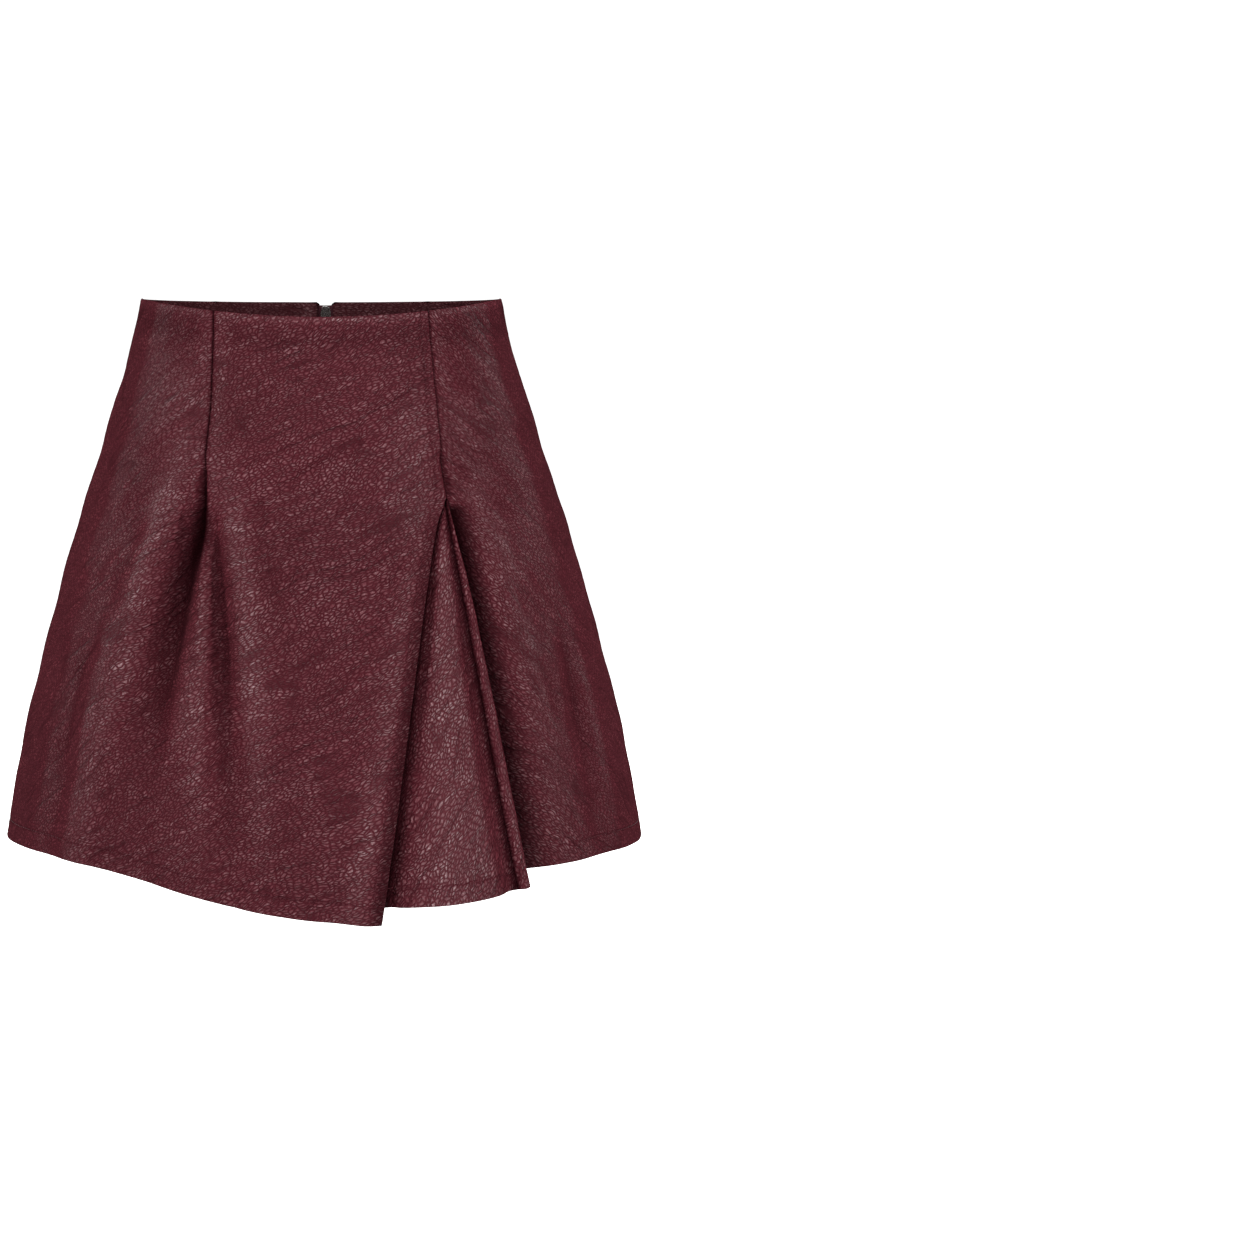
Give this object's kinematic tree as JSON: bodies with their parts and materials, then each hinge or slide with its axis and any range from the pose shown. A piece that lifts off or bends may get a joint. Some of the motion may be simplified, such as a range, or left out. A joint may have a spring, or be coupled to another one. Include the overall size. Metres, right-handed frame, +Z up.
{
  "type": "a-line leather mini skirt",
  "caption": "Flared leather mini skirt, filled out as worn, with a layered front pleat, a layered back pleat and a centre back zip.",
  "frame": {"origin": "centre of the waist opening, level with the tops of the side seams", "axes": "+Z up out of the waist, +X to the wearer's left, -Y to the front"},
  "size_m": [0.4449, 0.3639, 0.4092],
  "materials": {
    "leather": "pebbled, satin, burgundy",
    "leather_inside": "smooth, matte, dark burgundy",
    "zip_tape": "woven, dark burgundy",
    "zip_coil": "moulded coil, dark burgundy",
    "zip_metal": "polished nickel"
  },
  "bodies": {
    "skirt": {"front_panel": "leather", "front_right_side_panel": "leather", "front_left_side_panel": "leather", "back_left_side_panel": "leather", "back_left_panel": "leather", "back_right_panel": "leather", "back_right_side_panel": "leather", "front_underlay": "leather", "front_band": "leather", "back_band": "leather", "back_left_facing": "leather_inside", "back_right_facing": "leather_inside", "zip_left_tape": "zip_tape", "zip_right_tape": "zip_tape", "zip_chain": "zip_coil", "zip_bottom_stop": "zip_metal", "zip_slider": "zip_metal"},
    "zip_pull": {"zip_pull": "zip_metal"}
  },
  "joints": [
    {"name": "zip_pull_hinge", "type": "hinge", "parent": "skirt", "child": "zip_pull", "pos_m": [0.0028, 0.09421, -0.01029], "axis": [1, 0, 0], "range_deg": [0, 165]}
  ]
}
